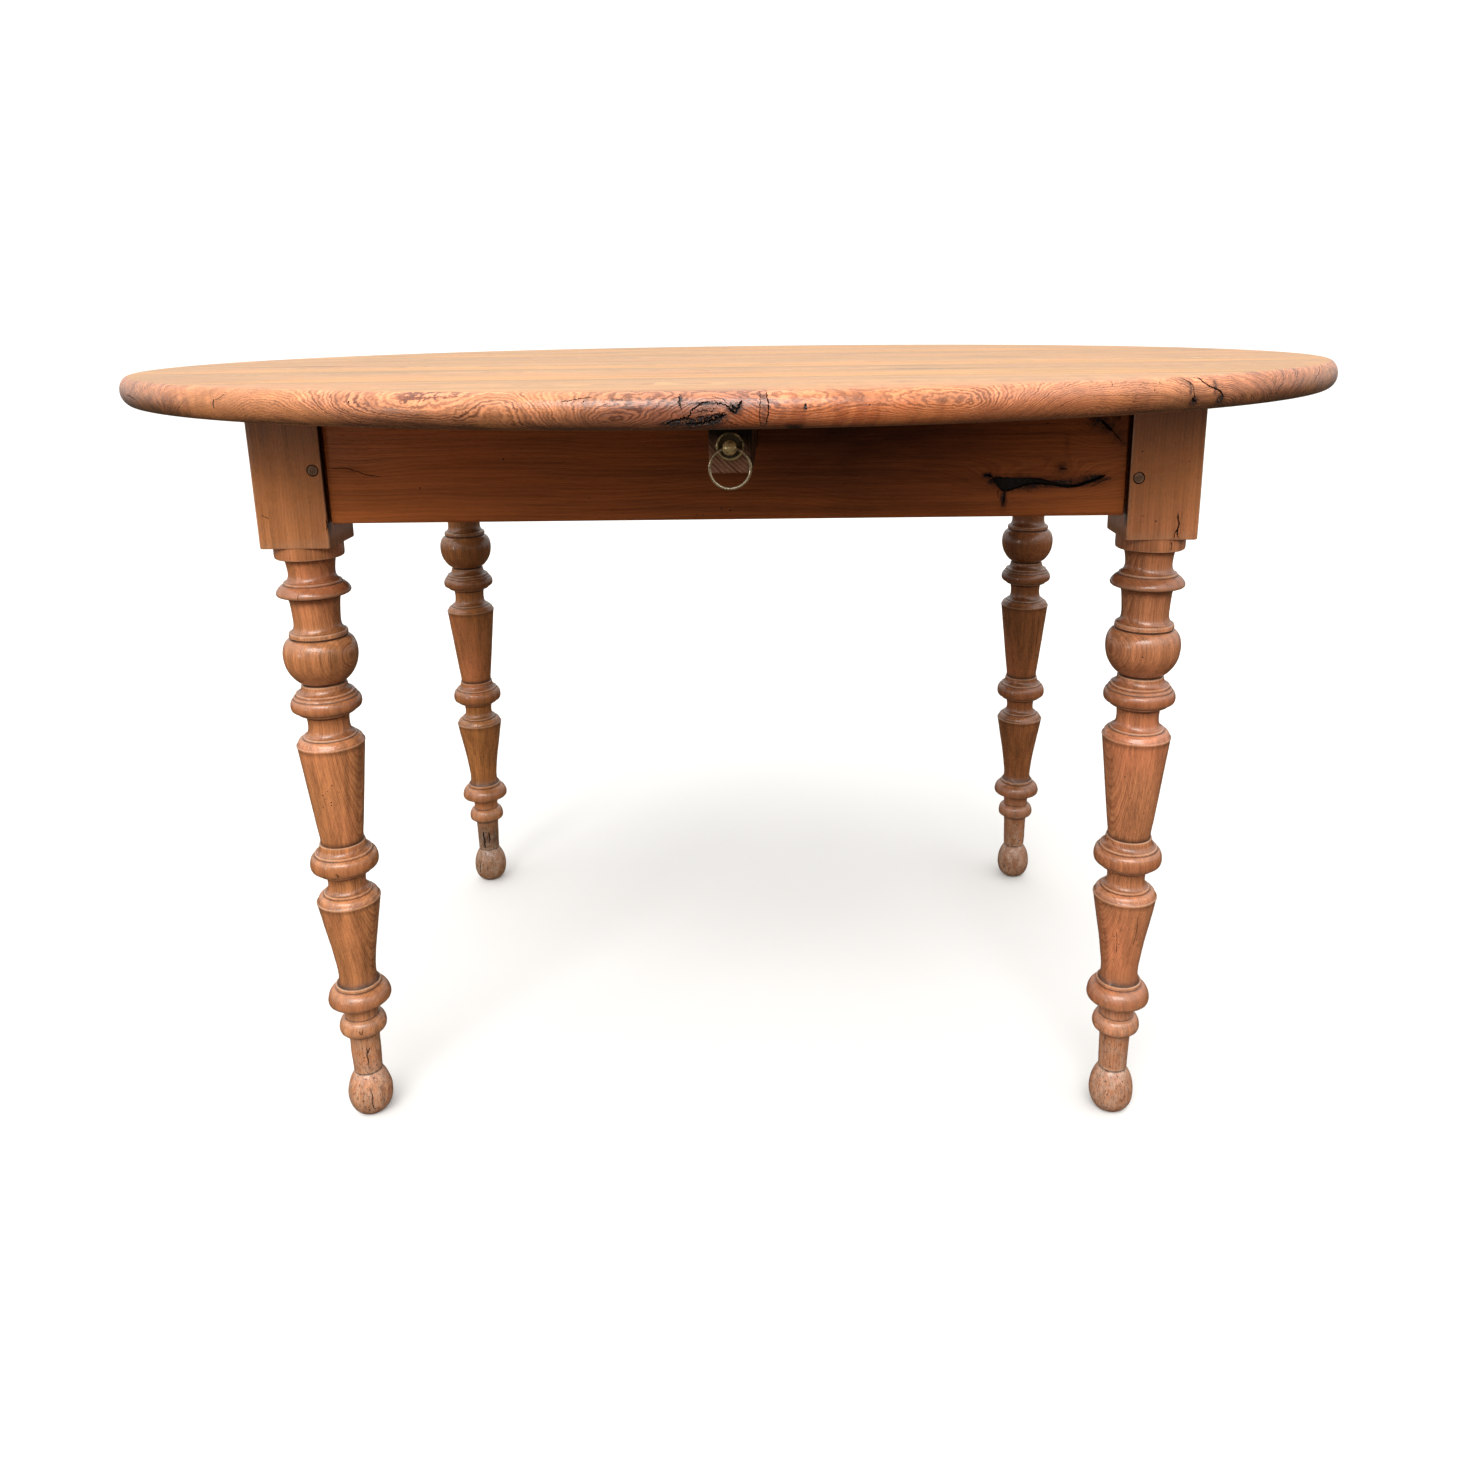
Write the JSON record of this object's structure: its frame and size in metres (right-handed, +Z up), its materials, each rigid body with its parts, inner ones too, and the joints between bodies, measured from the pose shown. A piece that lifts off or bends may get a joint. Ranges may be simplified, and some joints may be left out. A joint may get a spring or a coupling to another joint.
{
  "type": "round extending dining table",
  "caption": "Round boarded dining table on a pegged apron frame with turned legs and ball feet; lopers under the top pull out by ring pulls to carry extension leaves.",
  "frame": {"origin": "on the floor under the centre of the round top", "axes": "+Z up, -Y towards the front with the visible pull, +X to the right seen from the front"},
  "size_m": [1.194, 1.194, 0.75],
  "materials": {
    "top_wood": "old fruitwood, hand-waxed satin, with figured grain, knots and healed cracks",
    "leg_wood": "turned fruitwood, waxed, worn on the high edges and dark in the grooves",
    "apron_wood": "reddish-brown fruitwood, waxed satin, with a bark inclusion and knots",
    "loper_wood": "darkened fruitwood, end grain showing at the pull end",
    "inner_wood": "unfinished aged secondary wood",
    "peg_wood": "dark end grain, slightly proud",
    "old_brass": "dull, darkened in the hollows, rubbed bright on the high spots",
    "iron": "dull oxidised screws"
  },
  "bodies": {
    "frame": {"top_board_1": "top_wood", "top_board_2": "top_wood", "top_board_3": "top_wood", "top_board_4": "top_wood", "top_board_5": "top_wood", "top_board_6": "top_wood", "top_batten_left": "inner_wood", "top_batten_right": "inner_wood", "leg_front_left": "leg_wood", "leg_front_right": "leg_wood", "leg_rear_left": "leg_wood", "leg_rear_right": "leg_wood", "apron_front": "apron_wood", "apron_rear": "apron_wood", "apron_left": "apron_wood", "apron_right": "apron_wood", "peg_front_left_long": "peg_wood", "peg_front_left_side": "peg_wood", "peg_front_right_long": "peg_wood", "peg_front_right_side": "peg_wood", "peg_rear_left_long": "peg_wood", "peg_rear_left_side": "peg_wood", "peg_rear_right_long": "peg_wood", "peg_rear_right_side": "peg_wood", "loper_guide_left": "inner_wood", "loper_guide_right": "inner_wood", "bearer_rail": "inner_wood", "turn_button_front_left": "inner_wood", "turn_button_front_right": "inner_wood", "turn_button_rear_left": "inner_wood", "turn_button_rear_right": "inner_wood", "turn_button_left": "inner_wood", "turn_button_right": "inner_wood", "button_screw_front_left": "iron", "button_screw_front_right": "iron", "button_screw_rear_left": "iron", "button_screw_rear_right": "iron", "button_screw_left": "iron", "button_screw_right": "iron", "batten_screw_left_1": "iron", "batten_screw_left_2": "iron", "batten_screw_left_3": "iron", "batten_screw_right_1": "iron", "batten_screw_right_2": "iron", "batten_screw_right_3": "iron"},
    "loper_front": {"loper_front": "loper_wood", "loper_stop_front": "peg_wood", "pull_rose_front": "old_brass", "pull_post_front": "old_brass"},
    "loper_rear": {"loper_rear": "loper_wood", "loper_stop_rear": "peg_wood", "pull_rose_rear": "old_brass", "pull_post_rear": "old_brass"},
    "ring_front": {"pull_ring_front": "old_brass"},
    "ring_rear": {"pull_ring_rear": "old_brass"}
  },
  "joints": [
    {"name": "loper_front_slide", "type": "slide", "parent": "frame", "child": "loper_front", "axis": [0, -1, 0], "range_m": [0, 0.42]},
    {"name": "loper_rear_slide", "type": "slide", "parent": "frame", "child": "loper_rear", "axis": [0, 1, 0], "range_m": [0, 0.42]},
    {"name": "ring_front_swing", "type": "hinge", "parent": "loper_front", "child": "ring_front", "pos_m": [0.0135, -0.4925, 0.7047], "axis": [-1, 0, 0], "range_deg": [-20, 120]},
    {"name": "ring_rear_swing", "type": "hinge", "parent": "loper_rear", "child": "ring_rear", "pos_m": [-0.0185, 0.4925, 0.7047], "axis": [1, 0, 0], "range_deg": [-20, 120]}
  ]
}
